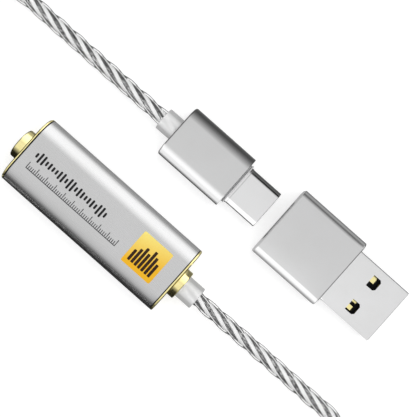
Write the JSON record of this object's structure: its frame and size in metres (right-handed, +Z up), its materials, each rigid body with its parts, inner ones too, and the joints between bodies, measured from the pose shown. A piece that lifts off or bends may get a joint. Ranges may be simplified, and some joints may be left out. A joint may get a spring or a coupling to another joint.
{
  "type": "portable headphone dac",
  "caption": "Portable headphone converter: aluminium in-line housing with a 3.5 mm jack, twisted cable with a USB-C plug, and a USB-C to USB-A adapter that slides onto the plug.",
  "frame": {"origin": "centre of the flat underside of the converter housing, on the table", "axes": "+X along the converter housing from the headphone jack to the cable, +Y towards the plug and adapter, +Z up from the table"},
  "size_m": [0.1142, 0.0757, 0.0091],
  "materials": {
    "satin_aluminium": "fine satin anodised, bright band along each long edge",
    "polished_aluminium": "smooth satin anodised",
    "gold_plate": "bright pale gold plating",
    "steel_shell": "bright nickel-plated sheet",
    "contact_gold": "gold-plated contact spring",
    "black_plastic": "moulded, fine matt grain",
    "collar_plastic": "smooth grey moulding",
    "clear_sleeve": "clear tube",
    "clear_insulation": "clear insulation over bright strands",
    "litz_silver": "fine silver-plated strands",
    "board_green": "solder mask",
    "chip_black": "moulded package",
    "can_metal": "plated can",
    "tantalum": "moulded package",
    "core_red": "thin insulation",
    "core_white": "thin insulation",
    "core_green": "thin insulation",
    "core_black": "thin insulation",
    "label_amber": "thin printed label",
    "print_ink": "thin printed ink"
  },
  "bodies": {
    "converter": {"housing_shell": "satin_aluminium", "jack_end_plate": "gold_plate", "cable_end_plate": "gold_plate", "jack_barrel": "gold_plate", "jack_body": "black_plastic", "jack_contact_sleeve": "contact_gold", "jack_contact_ring": "contact_gold", "jack_contact_tip": "contact_gold", "main_board": "board_green", "converter_chip": "chip_black", "amplifier_chip": "chip_black", "usb_bridge_chip": "chip_black", "regulator": "chip_black", "crystal_can_1": "can_metal", "crystal_can_2": "can_metal", "capacitor_1": "tantalum", "capacitor_2": "tantalum", "capacitor_3": "tantalum", "capacitor_4": "tantalum", "cable_gland": "gold_plate", "gland_sleeve": "clear_sleeve", "core_tail_1": "core_red", "core_tail_2": "core_white", "core_tail_3": "core_green", "core_tail_4": "core_black", "badge_label": "label_amber", "cable": "clear_insulation", "plug_sleeve": "clear_sleeve", "c_plug_housing": "polished_aluminium", "c_plug_potting": "black_plastic", "c_plug_board": "board_green", "c_plug_collar": "collar_plastic", "c_plug_shell": "steel_shell", "c_plug_insert": "black_plastic", "c_plug_contacts_top": "contact_gold", "c_plug_contacts_bottom": "contact_gold"},
    "adapter": {"adapter_housing": "polished_aluminium", "c_socket_shell": "steel_shell", "c_socket_tongue": "black_plastic", "c_socket_contacts_top": "contact_gold", "c_socket_contacts_bottom": "contact_gold", "adapter_board": "board_green", "adapter_end_frame": "black_plastic", "usb_a_shell": "steel_shell", "usb_a_insulator": "black_plastic", "usb_a_contact_1": "contact_gold", "usb_a_contact_2": "contact_gold", "usb_a_contact_3": "contact_gold", "usb_a_contact_4": "contact_gold"}
  },
  "joints": [
    {"name": "adapter_slide", "type": "slide", "parent": "converter", "child": "adapter", "axis": [-1, 0, 0], "range_m": [0, 0.0099]}
  ]
}
